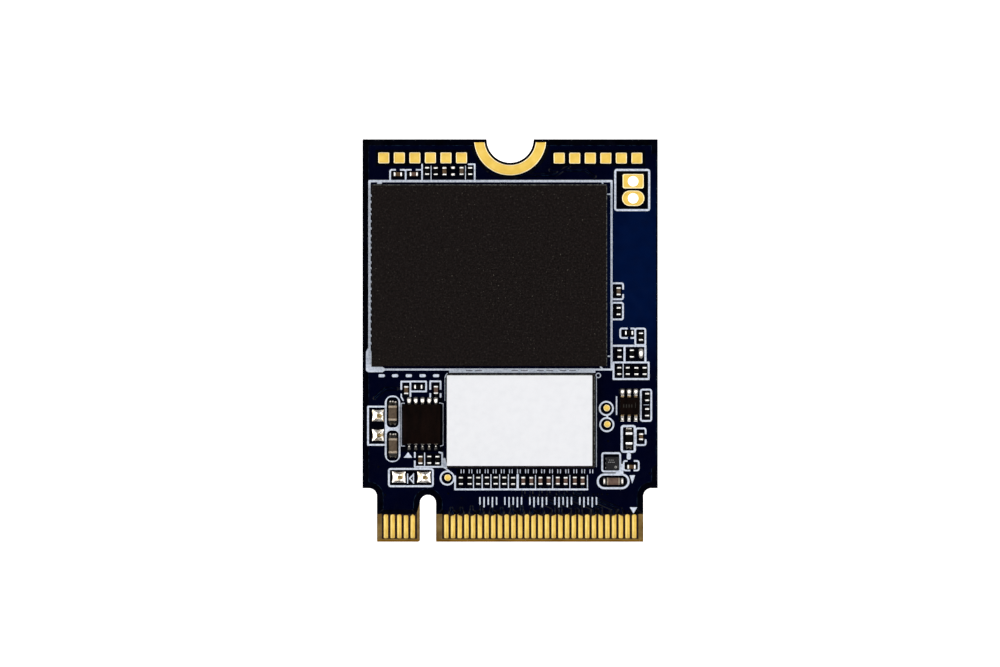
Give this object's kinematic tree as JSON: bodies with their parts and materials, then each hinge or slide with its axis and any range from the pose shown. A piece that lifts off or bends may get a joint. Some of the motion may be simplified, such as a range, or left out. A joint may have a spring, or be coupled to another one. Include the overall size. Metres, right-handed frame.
{
  "type": "solid state drive",
  "caption": "Bare M.2 solid state drive card, 22 x 30 mm, with a keyed edge connector, a fixing notch, and a memory package and labelled controller on one side.",
  "frame": {"origin": "centre of the card's underside", "axes": "+X across the card, +Y from the edge connector to the fixing notch, +Z out of the side that carries the chips"},
  "size_m": [0.022, 0.03, 0.0019],
  "materials": {
    "laminate": "bare glass-epoxy laminate, routed edge",
    "solder_mask": "semi-gloss dark blue solder mask",
    "gold_plating": "gold plated copper",
    "solder": "reflowed tin solder",
    "moulding_compound": "fine-grained black moulding compound",
    "package_substrate": "sawn package substrate",
    "silicon": "ground silicon",
    "label_paper": "matt white label",
    "capacitor_ceramic": "brown ceramic with tinned end caps",
    "resistor_coating": "black overglaze with tinned end caps",
    "ferrite": "sintered ferrite with tinned end caps"
  },
  "bodies": {
    "root": {"capacitor_corner": "capacitor_ceramic", "capacitor_left_1": "capacitor_ceramic", "capacitor_left_3": "capacitor_ceramic", "capacitor_left_4": "capacitor_ceramic", "capacitor_right_1": "capacitor_ceramic", "capacitor_row_lower": "capacitor_ceramic", "capacitor_side": "capacitor_ceramic", "capacitor_top_1": "capacitor_ceramic", "capacitor_top_2": "capacitor_ceramic", "circuit_board": "laminate", "component_row_top": "resistor_coating", "controller_die": "silicon", "controller_label": "label_paper", "controller_moulding": "moulding_compound", "controller_substrate": "package_substrate", "diode_pads": "solder", "edge_contacts_bottom_narrow": "gold_plating", "edge_contacts_bottom_wide": "gold_plating", "edge_contacts_top_narrow": "gold_plating", "edge_contacts_top_wide": "gold_plating", "ferrite_bead": "ferrite", "input_capacitor_lower": "capacitor_ceramic", "input_capacitor_upper": "capacitor_ceramic", "logic_chip_body": "moulding_compound", "logic_chip_leads_lower": "solder", "logic_chip_leads_upper": "solder", "memory_die_stack": "silicon", "memory_moulding": "moulding_compound", "memory_substrate": "package_substrate", "mounting_pad_bottom": "gold_plating", "mounting_pad_top": "gold_plating", "output_capacitor": "capacitor_ceramic", "plated_hole_oval": "gold_plating", "plated_hole_square": "gold_plating", "power_chip_body": "moulding_compound", "power_chip_heat_pad": "solder", "power_chip_leads_lower": "solder", "power_chip_leads_upper": "solder", "resistor_left_2": "resistor_coating", "resistor_left_5": "resistor_coating", "resistor_left_6": "resistor_coating", "resistor_right_2": "resistor_coating", "resistor_right_3": "resistor_coating", "resistor_right_4": "resistor_coating", "resistor_right_5": "resistor_coating", "resistor_right_6": "resistor_coating", "resistor_row_lower": "resistor_coating", "resistor_row_right": "resistor_coating", "resistor_side_lower": "resistor_coating", "resistor_side_upper": "resistor_coating", "solder_bridge": "solder", "solder_mask_bottom": "solder_mask", "solder_mask_top": "solder_mask", "strap_pads": "solder", "temperature_sensor": "moulding_compound", "test_pads_left": "gold_plating", "test_pads_right": "gold_plating", "test_point_left": "gold_plating", "test_point_lower": "gold_plating", "test_point_upper": "gold_plating"}
  },
  "joints": []
}
